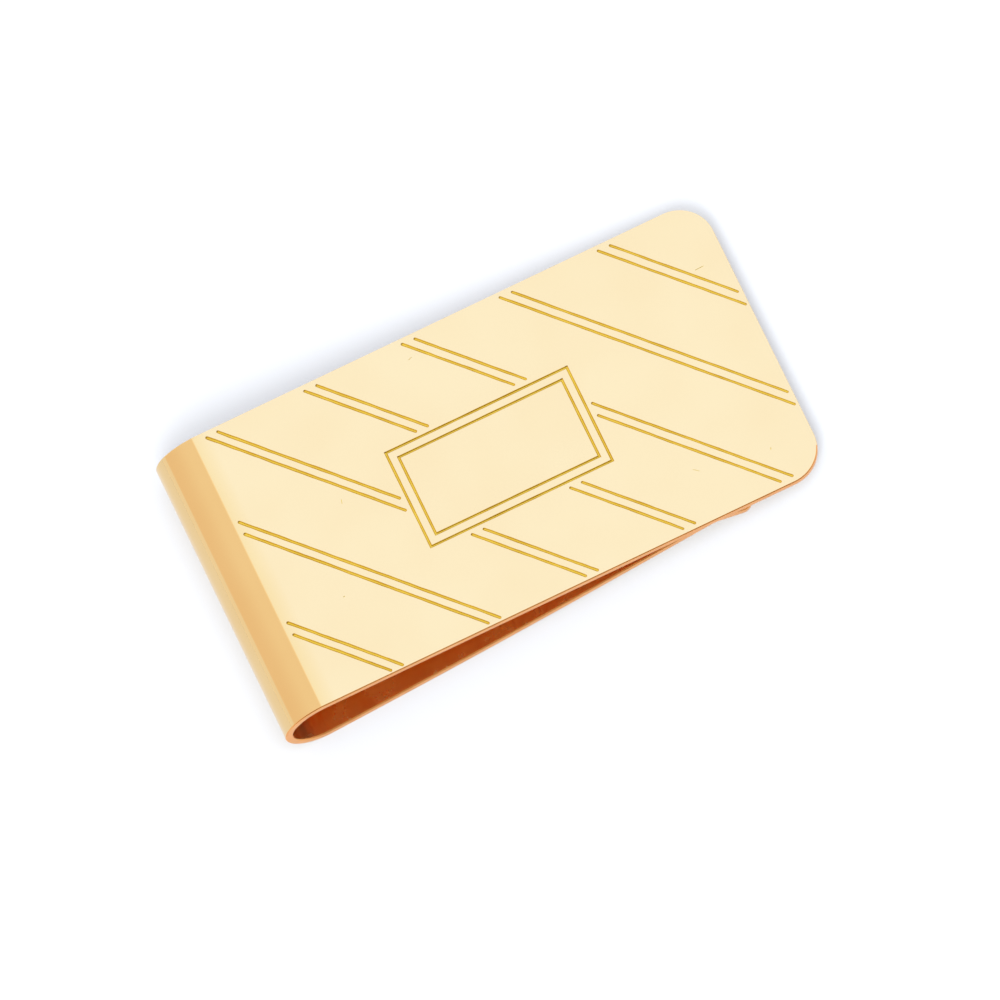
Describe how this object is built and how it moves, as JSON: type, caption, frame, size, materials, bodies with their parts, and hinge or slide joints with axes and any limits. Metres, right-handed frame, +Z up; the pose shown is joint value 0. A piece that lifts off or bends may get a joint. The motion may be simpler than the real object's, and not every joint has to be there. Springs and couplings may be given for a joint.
{
  "type": "money clip",
  "caption": "One-piece folded spring-sheet money clip: engraved face plate with a framed monogram panel, and a bowed grip leaf with a flared lip.",
  "frame": {"origin": "centre of the footprint on the table, with the clip lying on its leaf: it touches the table along the belly of the bend and the end of the lip", "axes": "+X runs along the clip from the fold to the free end, +Y across the strip, +Z up; the engraved face looks up and leans 6.2 degrees down towards +X"},
  "size_m": [0.051, 0.0266, 0.0071],
  "materials": {
    "polished_gold": "gold plate over brass, polished to a near mirror"
  },
  "bodies": {
    "clip_face": {"face_plate": "polished_gold", "spring_bend": "polished_gold"},
    "grip": {"grip_leaf": "polished_gold", "flared_lip": "polished_gold"}
  },
  "joints": [
    {"name": "leaf_flex", "type": "hinge", "parent": "grip", "child": "clip_face", "pos_m": [-0.02399, 0, 0.00363], "axis": [0, -1, 0], "range_deg": [0, 8], "stiffness_Nm_per_rad": 3, "springref_deg": -3.44, "deforming": ["spring_bend"]}
  ]
}
